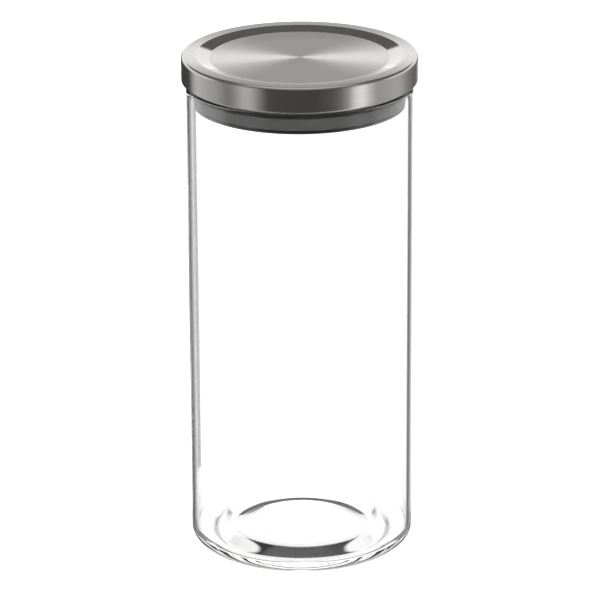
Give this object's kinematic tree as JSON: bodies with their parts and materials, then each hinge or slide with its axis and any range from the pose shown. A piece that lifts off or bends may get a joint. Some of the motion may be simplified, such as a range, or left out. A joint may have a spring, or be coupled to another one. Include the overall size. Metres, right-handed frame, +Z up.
{
  "type": "lidded glass canister",
  "caption": "Tall clear glass storage jar with a push-in brushed steel lid, sealed by a grey silicone ring around the lid's plug.",
  "frame": {"origin": "centre of the foot ring, on the surface the jar stands on", "axes": "+Z up along the jar's axis, from the base to the lid; X and Y are alike, because the object is round"},
  "size_m": [0.104, 0.104, 0.227],
  "materials": {
    "glass": "clear, fire-polished",
    "cap_steel": "spun on top, brushed around the band",
    "plug_steel": "satin",
    "silicone": "satin grey silicone"
  },
  "bodies": {
    "jar": {"glass_jar": "glass"},
    "seal": {"seal_ring": "silicone"},
    "lid": {"lid_cap": "cap_steel", "lid_plug": "plug_steel"}
  },
  "joints": [
    {"name": "lid_lift", "type": "slide", "parent": "jar", "child": "seal", "axis": [0, 0, 1], "range_m": [0, 0.06]},
    {"name": "lid_turn", "type": "hinge", "parent": "seal", "child": "lid", "pos_m": [0, 0, 0.21], "axis": [0, 0, 1], "continuous": true}
  ]
}
